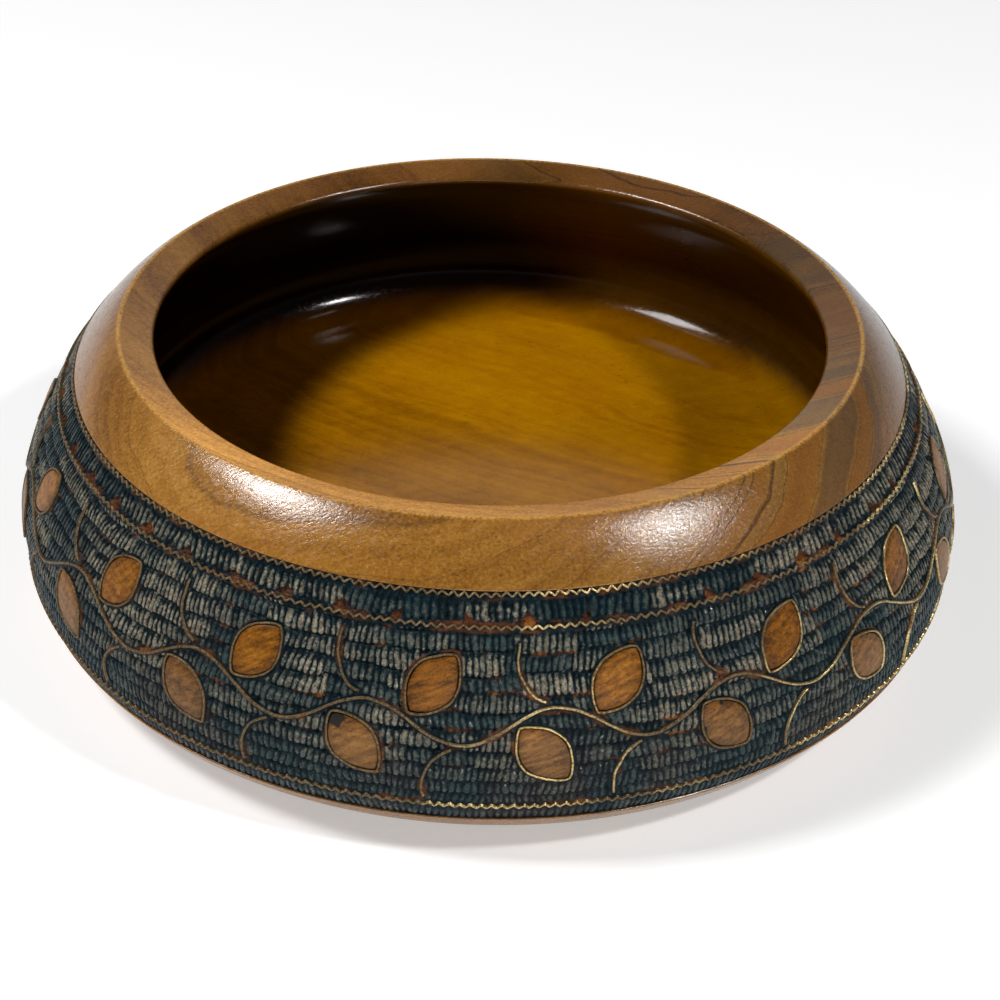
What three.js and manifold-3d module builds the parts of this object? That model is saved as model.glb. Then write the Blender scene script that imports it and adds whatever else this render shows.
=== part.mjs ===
// A squat turned wooden bowl with a carved band and brass strip inlay.
// Millimetres, +Z up, origin at the centre of the flat foot.
// One block of wood is the whole bowl. Three crimped brass rings stand in turned grooves. A vine of
// brass strip with tendrils stands in kerfs cut in the carved band, and each leaf, left standing at
// the height of the turned surface, has a brass outline let in round it.

import * as THREE from 'three';
import { mergeVertices } from 'three/addons/utils/BufferGeometryUtils.js';
import ManifoldModule from 'manifold-3d';

const wasm = await ManifoldModule();
wasm.setup();

// ---- driving sizes ----

// outside of the turned body
const rimRadius = 77.3;         // the crisp outer edge of the rim
const rimHeight = 62;
const rimFall = 1.9;            // how far the top of the rim falls towards the mouth
const rimEase = 0.4;            // worn flat on the outer edge
const bellyRadius = 100;
const bellyHeight = 21;
const footRadius = 76;
const shoulderOut = 8.9;        // fullness of the shoulder: its curve leaves the rim this far out
const shoulderDown = 5.1;       // and this far down
const bellyRise = 14;           // how long the wall stays upright above the belly
const bellyDrop = 13.5;         // and below it
const footSweep = 18;           // how far the underside runs level before it turns up

// inside of the turned body
const mouthRadius = 70;
const mouthEase = 1.2;          // rounding of the mouth's inner corner
const cavityRadius = 82.5;      // the hollow is undercut to this radius
const floorHeight = 22;         // of the hollow's floor at its edge
const floorDish = 1.5;          // how much lower the floor is at its centre
const coveRadius = 11;          // between the floor and the undercut wall

// carved band and its brass, placed by distance down the flank from the rim
const carveDepth = 0.7;         // the carved ground lies this far below the turned surface
const bandEnd = 60.2;
const ringPlaces = { shoulder_ring: 14, upper_ring: 19.8, lower_ring: 55.4 };
const vinePlace = 38;           // the line that the vine swings about

// brass strip
const stripThickness = 0.6;
const stripProud = 0.15;        // above the turned surface
const kerfDepth = 1;            // below the carved ground
const clearance = 0.25;         // round every strip in its groove or kerf
const stripJoint = 0.3;         // between one length of the vine and the next
const crimps = 34;              // waves of each ring
const crimpHeight = 0.55;       // half of a wave's height

// the vine, drawn flat and bent round the bowl
const repeats = 17;
const firstCrest = -12.7;       // degrees round from the front
const handDrift = 1.7;          // degrees: laid by hand, the repeats run closer at front and back
const vineSwing = 3.6;
const vineJointPlace = -0.12;   // of a repeat from a crest, where one length of the vine meets the next
const leafPlaces = { upper: 0.2, lower: 0.285 };      // of a repeat past a crest and past a trough
const leafLeans = { upper: 37, lower: 40 };           // degrees from upright
const leafLength = 14;
const leafWidth = 9.2;
const leafFullness = 0.75;      // 1 is a plain sine from stalk to tip, less is blunter
const leafStalk = 1.05;         // from the vine's middle to the leaf's
const tendrilReach = 6.8;       // how far a tendril leans back
const tendrilHeight = 11.8;
const tendrilTurn = 108;        // degrees of the arc that a tendril follows

// facets
const turnedSides = 52;
const coveSteps = 3;
const shoulderSteps = 2;
const bandSteps = 3;            // between the upper and the lower ring
const undersideSteps = 3;
const vineSteps = 6;            // in each repeat
const leafSteps = 4;            // on each side of a leaf
const tendrilSteps = 3;

// ---- materials ----

const wood = new THREE.MeshStandardMaterial({ color: 0x9c6a35, roughness: 0.35, metalness: 0 });
const brass = new THREE.MeshStandardMaterial({ color: 0xc2a35f, roughness: 0.35, metalness: 1 });

// ---- the flank: the outside profile from the rim, over the belly, to the foot ----

const flank = new THREE.CurvePath();
flank.add(new THREE.CubicBezierCurve(
  new THREE.Vector2(rimRadius, rimHeight),
  new THREE.Vector2(rimRadius + shoulderOut, rimHeight - shoulderDown),
  new THREE.Vector2(bellyRadius, bellyHeight + bellyRise),
  new THREE.Vector2(bellyRadius, bellyHeight),
));
flank.add(new THREE.CubicBezierCurve(
  new THREE.Vector2(bellyRadius, bellyHeight),
  new THREE.Vector2(bellyRadius, bellyHeight - bellyDrop),
  new THREE.Vector2(footRadius + footSweep, 0),
  new THREE.Vector2(footRadius, 0),
));
const flankLength = flank.getLength();

// A point of the profile, `place` mm down the flank and `out` mm off it.
function flankPoint(place, out) {
  const share = place / flankLength;
  const point = flank.getPoint(share);
  const along = flank.getTangent(share);
  return point.add(new THREE.Vector2(-along.y, along.x).multiplyScalar(out));
}

// Points of the profile from one place to another, all as far off the flank.
function flankStretch(from, to, steps, out) {
  return Array.from({ length: steps + 1 }, (_, i) =>
    flankPoint(THREE.MathUtils.lerp(from, to, i / steps), out));
}

// ---- solids ----

function toSolid(geometry) {
  const bare = geometry.clone();
  bare.deleteAttribute('normal');
  bare.deleteAttribute('uv');
  const merged = mergeVertices(bare, 1e-4);
  return new wasm.Manifold(new wasm.Mesh({
    numProp: 3,
    vertProperties: new Float32Array(merged.attributes.position.array),
    triVerts: new Uint32Array(merged.index.array),
  }));
}

function toGeometry(solid) {
  const { vertProperties, triVerts } = solid.getMesh();
  const geometry = new THREE.BufferGeometry();
  geometry.setAttribute('position', new THREE.BufferAttribute(vertProperties, 3));
  geometry.setIndex(new THREE.BufferAttribute(triVerts, 1));
  return geometry;
}

function toMesh(name, solid, material) {
  const geometry = toGeometry(solid);
  geometry.computeVertexNormals();
  const mesh = new THREE.Mesh(geometry, material);
  mesh.name = name;
  return mesh;
}

// A profile of (radius, height) points turned about the Z axis.
function turned(profile, sides) {
  return new THREE.LatheGeometry(profile, sides).rotateX(Math.PI / 2);
}

// ---- the strip and the room cut for it: half widths, and heights off the turned surface ----

const ground = -carveDepth;
const stripHalf = stripThickness / 2;
const stripFoot = ground - kerfDepth;
const kerfHalf = stripHalf + clearance;
const kerfFloor = stripFoot - clearance;
const grooveHalf = crimpHeight + kerfHalf;

// ---- the turned body ----

// The groove's floor; the stretches on either side of it make its walls.
function grooveFloor(place) {
  return flankStretch(place - grooveHalf, place + grooveHalf, 1, kerfFloor);
}

function hollowProfile() {
  const coveCentre = new THREE.Vector2(cavityRadius - coveRadius, floorHeight + coveRadius);
  const mouthCorner = new THREE.Vector2(mouthRadius, rimHeight - rimFall);
  const belowMouth = mouthCorner.clone().setY(mouthCorner.y - mouthEase);
  const toMouth = belowMouth.clone().sub(coveCentre);
  const coveEnd = toMouth.angle() - Math.acos(coveRadius / toMouth.length());
  const points = [new THREE.Vector2(0, floorHeight - floorDish)];
  for (let i = 0; i <= coveSteps; i++) {
    const turn = THREE.MathUtils.lerp(-Math.PI / 2, coveEnd, i / coveSteps);
    points.push(new THREE.Vector2(Math.cos(turn), Math.sin(turn)).multiplyScalar(coveRadius).add(coveCentre));
  }
  const rimEdge = new THREE.Vector2(rimRadius, rimHeight);
  const across = rimEdge.clone().sub(mouthCorner).normalize();
  points.push(belowMouth);
  points.push(mouthCorner.clone().addScaledVector(across, mouthEase));
  points.push(rimEdge.clone().addScaledVector(across, -rimEase));
  return points;
}

function bodyProfile() {
  const [shoulder, upper, lower] = Object.values(ringPlaces);
  return [
    ...hollowProfile(),
    ...flankStretch(rimEase, shoulder - grooveHalf, shoulderSteps, 0),
    ...grooveFloor(shoulder),
    ...flankStretch(shoulder + grooveHalf, upper - grooveHalf, 1, ground),
    ...grooveFloor(upper),
    ...flankStretch(upper + grooveHalf, lower - grooveHalf, bandSteps, ground),
    ...grooveFloor(lower),
    ...flankStretch(lower + grooveHalf, bandEnd, 1, ground),
    ...flankStretch(bandEnd, flankLength, undersideSteps, 0),
    new THREE.Vector2(0, 0),
  ].reverse();
}

// ---- the rings: a flat hoop with each side pushed up or down the flank by turns ----

function ringSolid(place) {
  const corners = [[-1, stripFoot], [1, stripFoot], [1, stripProud], [-1, stripProud], [-1, stripFoot]];
  const section = corners.map(([side, out]) => flankPoint(place + side * stripHalf, out));
  const hoop = turned(section, crimps * 2);
  const push = flankPoint(place + crimpHeight, 0).sub(flankPoint(place, 0));
  const spots = hoop.attributes.position;
  for (let i = 0; i < spots.count; i++) {
    const side = Math.floor(i / section.length) % 2 ? 1 : -1;
    const from = new THREE.Vector2(spots.getX(i), spots.getY(i));
    from.setLength(from.length() + side * push.x);
    spots.setXYZ(i, from.x, from.y, spots.getZ(i) + side * push.y);
  }
  return toSolid(hoop);
}

// ---- the vine: one flat drawing, x round the bowl from its front and y up the flank ----

const vineRadius = flankPoint(vinePlace, 0).x;

// Where a point of the vine lies round the bowl, counted in repeats from its first crest.
function vineX(count) {
  const even = THREE.MathUtils.degToRad(firstCrest + 360 * count / repeats);
  return vineRadius * (even - THREE.MathUtils.degToRad(handDrift) * Math.sin(2 * even));
}

// A flat outline made solid between two levels, z being the height off the flank.
function flatSolid(shape, foot, top) {
  const geometry = new THREE.ExtrudeGeometry(shape, { depth: top - foot, steps: 1, bevelEnabled: false });
  return toSolid(geometry.translate(0, 0, foot));
}

// A flat solid bent onto the flank.
function bent(flat) {
  const geometry = toGeometry(flat);
  const spots = geometry.attributes.position;
  for (let i = 0; i < spots.count; i++) {
    const angle = spots.getX(i) / vineRadius - Math.PI / 2;
    const place = flankPoint(vinePlace - spots.getY(i), spots.getZ(i));
    spots.setXYZ(i, place.x * Math.cos(angle), place.x * Math.sin(angle), place.y);
  }
  return toSolid(geometry);
}

// The points of a path moved sideways, to the left of its direction, with mitred corners.
function besidePath(path, distance, closed) {
  const last = path.length - 1;
  const leftOf = (a, b) => new THREE.Vector2(a.y - b.y, b.x - a.x).normalize();
  return path.map((point, i) => {
    const before = i > 0 ? path[i - 1] : closed ? path[last] : null;
    const after = i < last ? path[i + 1] : closed ? path[0] : null;
    const first = leftOf(before ?? point, before ? point : after);
    const second = leftOf(after ? point : before, after ?? point);
    const middle = first.clone().add(second).normalize();
    return point.clone().addScaledVector(middle, distance / middle.dot(first));
  });
}

// The outline of a strip that follows a path, drawn out past both ends by `extra`.
function stripShape(path, half, extra) {
  const reach = path.map((point) => point.clone());
  const grow = (end, next) => end.addScaledVector(end.clone().sub(next).normalize(), extra);
  grow(reach[0], path[1]);
  grow(reach.at(-1), path.at(-2));
  return new THREE.Shape([...besidePath(reach, half, false), ...besidePath(reach, -half, false).reverse()]);
}

// The outline of a strip that closes on itself, following a counter-clockwise path.
function hoopShape(path, half) {
  const shape = new THREE.Shape(besidePath(path, -half, true));
  shape.holes.push(new THREE.Path(besidePath(path, half, true)));
  return shape;
}

// One length of the vine, a repeat long and short of both ends by half a joint.
function vinePath(length) {
  const from = vineJointPlace * length + stripJoint / 2;
  const to = (vineJointPlace + 1) * length - stripJoint / 2;
  return Array.from({ length: vineSteps + 1 }, (_, i) => {
    const x = THREE.MathUtils.lerp(from, to, i / vineSteps);
    return new THREE.Vector2(x, vineSwing * Math.cos(2 * Math.PI * x / length));
  });
}

// A tendril: leaves the vine's crest (side 1) or trough (side -1), leans back and stands up.
function tendrilPath(side) {
  const wholeTurn = THREE.MathUtils.degToRad(tendrilTurn);
  return Array.from({ length: tendrilSteps + 1 }, (_, i) => {
    const turn = wholeTurn * i / tendrilSteps;
    const rise = tendrilHeight * (1 - Math.cos(turn)) / (1 - Math.cos(wholeTurn));
    return new THREE.Vector2(-tendrilReach * Math.sin(turn), side * (vineSwing + rise));
  });
}

// The outline of a leaf of one row, on one side of the vine, from its stalk round to its tip and
// back, about the point where its stalk meets the vine.
function leafPath(row, side) {
  const lean = THREE.MathUtils.degToRad(leafLeans[row]);
  const stalkRise = vineSwing * Math.cos(2 * Math.PI * leafPlaces[row]);
  const edge = (share, half) => {
    const along = leafStalk + leafLength * share;
    const across = half * leafWidth / 2 * Math.sin(Math.PI * share) ** leafFullness;
    const x = along * Math.sin(lean) + across * Math.cos(lean);
    const y = along * Math.cos(lean) - across * Math.sin(lean);
    return new THREE.Vector2(x, side * (y + stalkRise));
  };
  const points = [];
  for (let i = 0; i < leafSteps; i++) points.push(edge(i / leafSteps, -1));
  for (let i = leafSteps; i > 0; i--) points.push(edge(i / leafSteps, 1));
  return side > 0 ? points.reverse() : points;
}

// ---- assembly ----

const clearAbove = 2;           // kerfs are cut from well above the wood
const rootDepth = 3;            // a leaf's wood is joined to the bowl from well below the ground

const bowl = new THREE.Group();
const vineLengths = [];
const leafOutlines = [];
const cuts = [];
const leaves = [];

const joined = (solids) => solids.reduce((all, next) => all.add(next));
const moved = (path, x) => path.map((point) => new THREE.Vector2(point.x + x, point.y));

for (let k = 0; k < repeats; k++) {
  const number = String(k + 1).padStart(2, '0');
  const crest = vineX(k);
  const length = vineX(k + 1) - crest;

  const spray = [vinePath(length), tendrilPath(1), moved(tendrilPath(-1), length / 2)]
    .map((path) => moved(path, crest));
  const strips = spray.map((path) => flatSolid(stripShape(path, stripHalf, 0), stripFoot, stripProud));
  vineLengths.push(toMesh(`vine_length_${number}`, bent(joined(strips)), brass));
  cuts.push(...spray.map((path) => flatSolid(stripShape(path, kerfHalf, clearance), kerfFloor, clearAbove)));

  for (const [row, side, from] of [['upper', 1, 0], ['lower', -1, 0.5]]) {
    const path = moved(leafPath(row, side), crest + (from + leafPlaces[row]) * length);
    const outline = flatSolid(hoopShape(path, stripHalf), ground + clearance, stripProud);
    leafOutlines.push(toMesh(`${row}_leaf_outline_${number}`, bent(outline), brass));
    const leaf = new THREE.Shape(besidePath(path, kerfHalf, true));
    leaves.push(bent(flatSolid(leaf, -rootDepth, 0)));
  }
}

const body = toSolid(turned(bodyProfile(), turnedSides)).subtract(bent(joined(cuts))).add(joined(leaves));
bowl.add(toMesh('bowl_body', body, wood));
for (const [name, place] of Object.entries(ringPlaces)) {
  bowl.add(toMesh(name, ringSolid(place), brass));
}
bowl.add(...vineLengths, ...leafOutlines);

export default bowl;
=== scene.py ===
# A squat turned wooden bowl with a carved band and a vine of brass strip let into it.
# Worked out in millimetres and laid into the frame in metres.
import math

import bmesh
import bpy
import numpy as np
from mathutils import Matrix, Vector


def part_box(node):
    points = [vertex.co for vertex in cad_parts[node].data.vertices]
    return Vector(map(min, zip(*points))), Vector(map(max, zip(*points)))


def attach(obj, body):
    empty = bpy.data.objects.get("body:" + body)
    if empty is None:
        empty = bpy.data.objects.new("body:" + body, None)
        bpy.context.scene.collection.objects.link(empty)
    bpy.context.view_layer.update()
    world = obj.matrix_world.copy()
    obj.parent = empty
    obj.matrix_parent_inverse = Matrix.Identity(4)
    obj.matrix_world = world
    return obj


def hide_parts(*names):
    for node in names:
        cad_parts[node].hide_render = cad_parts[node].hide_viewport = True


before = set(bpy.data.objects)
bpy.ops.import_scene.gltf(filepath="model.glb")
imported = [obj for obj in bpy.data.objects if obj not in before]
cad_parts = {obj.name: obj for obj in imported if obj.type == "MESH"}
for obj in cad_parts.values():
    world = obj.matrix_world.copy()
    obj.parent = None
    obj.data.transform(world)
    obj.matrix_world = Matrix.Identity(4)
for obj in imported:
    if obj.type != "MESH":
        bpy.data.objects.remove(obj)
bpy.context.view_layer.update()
scene = bpy.context.scene
mm = 0.001


def pick(sockets, name):                          # a socket by its name, or by its number among those in use
    live = [s for s in sockets if s.enabled]
    return live[name] if isinstance(name, int) else next(s for s in live if s.name == name)


class Wire:                                       # a node's output, so that sums on it read as sums
    def __init__(self, graph, socket):
        self.graph, self.socket = graph, socket

    def also(self, name):                         # another output of the same node
        return Wire(self.graph, pick(self.socket.node.outputs, name))


signs = dict(add="ADD", sub="SUBTRACT", mul="MULTIPLY", truediv="DIVIDE", pow="POWER", mod="FLOORED_MODULO",
             lt="LESS_THAN", gt="GREATER_THAN")
for sign, operation in signs.items():
    setattr(Wire, f"__{sign}__", lambda self, other, o=operation: self.graph.maths(o, self, other))
for sign in ("add", "sub", "mul"):                # the same with a plain number in front
    setattr(Wire, f"__r{sign}__", lambda self, other, o=signs[sign]: self.graph.maths(o, other, self))


class Graph:                                      # a node tree of a material, the world or a modifier
    def __init__(self, tree):
        self.tree = tree

    def node(self, kind, inputs=None, output=0, stops=(), **settings):   # settings are set before inputs
        made = self.tree.nodes.new(kind)
        for name, value in settings.items():
            setattr(made, name, value)
        while stops and len(made.color_ramp.elements) < len(stops):
            made.color_ramp.elements.new(1.0)
        for number, (place, *colour) in enumerate(stops):
            element = made.color_ramp.elements[number]
            element.position, element.color = place, shade(*colour)
        for name, value in (inputs or {}).items():
            socket = pick(made.inputs, name)
            for each in value if isinstance(value, list) else [value]:
                if isinstance(each, Wire):
                    self.tree.links.new(each.socket, socket)
                else:
                    socket.default_value = each
        return Wire(self, pick(made.outputs, output)) if made.outputs else None

    def maths(self, operation, *values, clamp=False):
        return self.node("ShaderNodeMath", dict(enumerate(values)), operation=operation, use_clamp=clamp)

    def ramp(self, value, low, high):             # 0 below low, 1 above high, eased between
        return self.node("ShaderNodeMapRange", {"Value": value, "From Min": low, "From Max": high},
                         interpolation_type="SMOOTHSTEP")

    def vector(self, x, y, z):
        return self.node("ShaderNodeCombineXYZ", {0: x, 1: y, 2: z})

    def split(self, vector):                      # its x, which also() takes on to its Y and Z
        return self.node("ShaderNodeSeparateXYZ", {0: vector})

    def stretched(self, vector, by):              # a vector times a vector
        return self.node("ShaderNodeVectorMath", {0: vector, 1: by}, operation="MULTIPLY")

    def scaled(self, vector, by):                 # a vector times a number
        return self.node("ShaderNodeVectorMath", {0: vector, "Scale": by}, operation="SCALE")

    def measured(self, operation, *vectors):      # the number that comes of one or two vectors
        return self.node("ShaderNodeVectorMath", dict(enumerate(vectors)), "Value", operation=operation)

    def noise(self, at, scale, detail=2.0, roughness=0.5, output=0):
        return self.node("ShaderNodeTexNoise", {
            "Vector": at, "Scale": scale, "Detail": detail, "Roughness": roughness}, output)

    def chance(self, *numbers):                   # an even random number for each whole number or set
        spots = list(numbers) + [0.0] * (3 - len(numbers))
        return self.node("ShaderNodeTexWhiteNoise", {"Vector": self.vector(*spots)}, noise_dimensions="3D")

    def mixed(self, share, first, second, blend="MIX"):
        return self.node("ShaderNodeMix", {"Factor": share, "A": first, "B": second}, "Result",
                         data_type="RGBA", blend_type=blend)

    def tinted(self, share, colour, tint):
        return self.mixed(share, colour, tint, "MULTIPLY")

    def coloured(self, value, stops):             # each stop is a place from 0 to 1 and a screen colour
        return self.node("ShaderNodeValToRGB", {"Fac": value}, stops=stops)

    def bump(self, height, strength, depth):
        return self.node("ShaderNodeBump", {"Height": height, "Strength": strength, "Distance": depth * mm})


def shade(red, green, blue):                      # a screen colour, 0 to 255, as the linear one of nodes
    line = [c / 255 for c in (red, green, blue)]
    return tuple(c / 12.92 if c <= 0.04045 else ((c + 0.055) / 1.055) ** 2.4 for c in line) + (1.0,)


def cleared(owner):                               # the empty graph of a material or the world
    owner.use_nodes = True
    owner.node_tree.nodes.clear()
    return Graph(owner.node_tree)


def placed(name, data):                           # a new object in the scene
    made = bpy.data.objects.new(name, data)
    scene.collection.objects.link(made)
    return made


def meshOf(name, points, edges, faces):
    mesh = bpy.data.meshes.new(name)
    mesh.from_pydata(points, edges, faces)
    return mesh


# The outside profile, from the rim over the belly to the foot.
flank = dict(rimRadius=77.3, rimHeight=62.0, shoulderOut=8.9, shoulderDown=5.1, bellyRadius=100.0,
             bellyHeight=21.0, bellyRise=14.0, bellyDrop=13.5, footRadius=76.0, footSweep=18.0, samples=400)


def bezier(corners, count):
    t = np.linspace(0, 1, count)[:, None]
    a, b, c, d = np.array(corners, float)
    return (1 - t) ** 3 * a + 3 * (1 - t) ** 2 * t * b + 3 * (1 - t) * t ** 2 * c + t ** 3 * d


def flankCurve(f):
    rim, belly, foot = np.array([
        (f["rimRadius"], f["rimHeight"]), (f["bellyRadius"], f["bellyHeight"]), (f["footRadius"], 0)])
    upper = [rim, rim + (f["shoulderOut"], -f["shoulderDown"]), belly + (0, f["bellyRise"]), belly]
    lower = [belly, belly - (0, f["bellyDrop"]), foot + (f["footSweep"], 0), foot]
    return np.concatenate([bezier(upper, f["samples"]), bezier(lower, f["samples"])[1:]])


flankLine = flankCurve(flank)
flankRun = np.r_[0, np.cumsum(np.hypot(*np.diff(flankLine, axis=0).T))]
flankWay = np.gradient(flankLine, flankRun, axis=0)


def flankAt(place, out=0.0):                      # (radius, height) that far down the flank and off it
    radius, height = (np.interp(place, flankRun, c) for c in flankLine.T)
    wayRadius, wayHeight = (np.interp(place, flankRun, c) for c in flankWay.T)
    return np.stack([radius - wayHeight * out, height + wayRadius * out], -1)


# Brass strip, and where the rings lie: half way up each one's box, on the middle line of the strip.
strip = dict(top=0.15, foot=-1.7, outlineFoot=-0.5, edge=0.12, step=0.4, ringStep=0.24,
             ringWidth=0.42, vineWidth=0.5, tendrilWidth=0.44, outlineWidth=0.42)


def ringPlace(node):
    low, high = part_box(node)
    places = np.linspace(0, flankRun[-1], 2000)
    heights = flankAt(places, (strip["top"] + strip["foot"]) / 2)[:, 1]
    return float(places[np.argmin(np.abs(heights - (low.z + high.z) / 2 / mm))])


shoulderRing, upperRing, lowerRing = (ringPlace(n) for n in ("shoulder_ring", "upper_ring", "lower_ring"))
print("rings lie at", [round(p, 2) for p in (shoulderRing, upperRing, lowerRing)], "mm down the flank")

# The vine's drawing: x round the bowl from its front, y up the flank from the rim, z off the flank.
vine = dict(repeats=17, place=38.0, firstCrest=-12.7, handDrift=1.7, swing=3.6, jointPlace=-0.12, joint=0.1,
            leafPlace=dict(upper=0.2, lower=0.285), leafLean=dict(upper=37.0, lower=40.0), leafLength=14.0,
            leafWidth=9.2, leafFullness=0.75, leafStalk=1.05,
            tendrilReach=6.8, tendrilHeight=11.8, tendrilStart=15.0, tendrilTurn=108.0, tendrilGap=0.7)
vineRadius = float(flankAt(vine["place"])[0])
girth = 2 * math.pi * vineRadius


def vineX(count):
    even = math.radians(vine["firstCrest"] + 360 * count / vine["repeats"])
    return vineRadius * (even - math.radians(vine["handDrift"]) * math.sin(2 * even))


def vinePath(crest, length, steps=80):
    start, gap = vine["jointPlace"], vine["joint"] / 2
    x = np.linspace(start * length + gap, (start + 1) * length - gap, steps)
    return np.stack([crest + x, vine["swing"] * np.cos(2 * math.pi * x / length) - vine["place"]], -1)


def tendrilPath(root, side, steps=30):
    turn = np.linspace(*np.radians([vine["tendrilStart"], vine["tendrilTurn"]]), steps)
    rise = (vine["tendrilHeight"] - vine["tendrilGap"]) * (1 - np.cos(turn)) / (1 - math.cos(turn[-1]))
    rise = rise + vine["tendrilGap"]
    x = root - vine["tendrilReach"] * np.sin(turn)
    return np.stack([x, side * (vine["swing"] + rise) - vine["place"]], -1)


def leafPath(root, row, steps=40, inset=0.0):     # counter-clockwise as drawn, and moved in by the inset
    side = 1 if row == "upper" else -1
    lean, length, half = math.radians(vine["leafLean"][row]), vine["leafLength"], vine["leafWidth"] / 2
    share = np.r_[np.linspace(0, 1, steps, endpoint=False), np.linspace(1, 0, steps, endpoint=False)]
    hand = np.r_[-np.ones(steps), np.ones(steps)]
    along = length / 2 + (length / 2 - inset * 1.25) * (2 * share - 1)
    across = hand * (half - inset) * np.sin(math.pi * share) ** vine["leafFullness"]
    along = along + vine["leafStalk"]
    x = along * math.sin(lean) + across * math.cos(lean)
    y = along * math.cos(lean) - across * math.sin(lean)
    foot = vine["swing"] * math.cos(2 * math.pi * vine["leafPlace"][row])
    path = np.stack([root + x, side * (y + foot) - vine["place"]], -1)
    return path if side < 0 else path[::-1]


def drawing(first, last):                         # the flat paths of these repeats
    drawn = dict(vine=[], tendril=[], upper=[], lower=[])
    for k in range(first, last):
        crest, length = vineX(k), vineX(k + 1) - vineX(k)
        drawn["vine"].append(vinePath(crest, length))
        drawn["tendril"] += [tendrilPath(crest, 1), tendrilPath(crest + length / 2, -1)]
        for row, start in (("upper", 0.0), ("lower", 0.5)):
            drawn[row].append((crest + (start + vine["leafPlace"][row]) * length, row))
    return drawn


def flatMesh(name, paths, closed, filled=False):  # paths as edges, or as faces, in millimetres
    points, edges, faces = [], [], []
    for path in paths:
        base = len(points)
        points += [(float(x), float(y), 0.0) for x, y in path]
        ring = list(range(base, len(points)))
        if filled:
            faces.append(ring)
        else:
            edges += list(zip(ring, ring[1:])) + ([(ring[-1], ring[0])] if closed else [])
    return meshOf(name, points, edges, faces)


def helper(name, mesh):                           # an object that a modifier reads, taken away at the end
    made = placed(name, mesh)
    made.hide_render = True
    helpers.append(made)
    return made


helpers = []
flankHelper = helper("flankHelper", meshOf(
    "flankLine", [(r, 0, z) for r, z in flankLine], [(i, i + 1) for i in range(len(flankLine) - 1)], []))


def newTree(name, *more):                         # a modifier's tree: its graph and its inputs by name
    tree = bpy.data.node_groups.new(name, "GeometryNodeTree")
    tree.interface.new_socket("Geometry", in_out="OUTPUT", socket_type="NodeSocketGeometry")
    inputs = (("Geometry", "Geometry"), ("Flank", "Object"), ("Drawing Radius", "Float"), *more)
    for label, kind in inputs:
        tree.interface.new_socket(label, in_out="INPUT", socket_type="NodeSocket" + kind)
    graph = Graph(tree)
    source = graph.node("NodeGroupInput")
    return graph, {label: source.also(label) for label, _ in inputs}


def endTree(graph, geometry, material=None):
    if material is not None:
        geometry = graph.node("GeometryNodeRealizeInstances", {"Geometry": geometry})
        geometry = graph.node("GeometryNodeSetMaterial", {"Geometry": geometry, "Material": material})
    graph.node("NodeGroupOutput", {0: geometry})
    return graph.tree


def shapeOf(graph, helper):
    return graph.node("GeometryNodeObjectInfo", {"Object": helper}, "Geometry")


def bendTree():                                   # lays a flat drawing on the flank, in metres
    graph, given = newTree("bendOnFlank")
    here = graph.split(graph.node("GeometryNodeInputPosition"))
    line = graph.node("GeometryNodeMeshToCurve", {"Mesh": shapeOf(graph, given["Flank"])})
    on = graph.node("GeometryNodeSampleCurve", {"Curves": line, "Length": 0 - here.also("Y")}, "Position",
                    mode="LENGTH")
    spot, way = graph.split(on), graph.split(on.also("Tangent"))
    out = here.also("Z")
    radius = spot - way.also("Z") * out
    turn = here / given["Drawing Radius"] - math.pi / 2
    place = graph.vector(radius * graph.maths("COSINE", turn) * mm, radius * graph.maths("SINE", turn) * mm,
                         (spot.also("Z") + way * out) * mm)
    return endTree(graph, graph.node("GeometryNodeSetPosition", {
        "Geometry": given["Geometry"], "Position": place}))


bendGroup = bendTree()


def bent(graph, geometry, given):
    return graph.node("GeometryNodeGroup", {
        "Geometry": geometry, "Flank": given["Flank"], "Drawing Radius": given["Drawing Radius"]},
        node_tree=bendGroup)


def merged(graph, geometry):                      # points that meet at a seam become one
    return graph.node("GeometryNodeMergeByDistance", {"Geometry": geometry, "Distance": 0.002 * mm})


def grown(name, tree, mesh, values):              # the tree's result on a mesh, as a plain mesh of its own
    piece = placed(name, mesh)
    modifier = piece.modifiers.new("grow", "NODES")
    modifier.node_group = tree
    values = dict({"Flank": flankHelper, "Drawing Radius": vineRadius}, **values)
    for item in tree.interface.items_tree:
        if item.in_out == "INPUT" and item.name in values:
            modifier[item.identifier] = values[item.name]
    depsgraph = bpy.context.evaluated_depsgraph_get()
    made = bpy.data.meshes.new_from_object(piece.evaluated_get(depsgraph), depsgraph=depsgraph)
    piece.modifiers.remove(modifier)
    piece.data = made
    made.name = name
    return piece


def smoothed(piece, degrees=35):
    piece.data.shade_smooth()
    piece.data.set_sharp_from_angle(angle=math.radians(degrees))
    return piece


def finished(piece, slot, *nodes):                # every piece is part of the one body
    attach(piece, "root")
    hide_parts(*nodes)
    triangles = sum(len(p.vertices) - 2 for p in piece.data.polygons)
    print(piece.name, len(piece.data.vertices), "points,", triangles, "triangles")


def surface(name, build, dullShine=None):         # a material whose build gives its shader's inputs
    made = bpy.data.materials.new(name)
    graph = cleared(made)
    at = graph.scaled(graph.node("ShaderNodeTexCoord", {}, "Object"), 1 / mm)
    inputs = build(graph, at)
    dulled = inputs.pop("dulled", None)           # where the polish has gone
    shader = graph.node("ShaderNodeBsdfPrincipled", inputs)
    if dulled is not None:
        dull = graph.node("ShaderNodeBsdfPrincipled", dict(inputs, **{"Specular IOR Level": dullShine}))
        shader = graph.node("ShaderNodeMixShader", {0: dulled, 1: shader, 2: dull})
    graph.node("ShaderNodeOutputMaterial", {"Surface": shader})
    return made


def attribute(graph, name):
    return graph.node("ShaderNodeAttribute", {}, "Fac", attribute_name=name)


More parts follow.
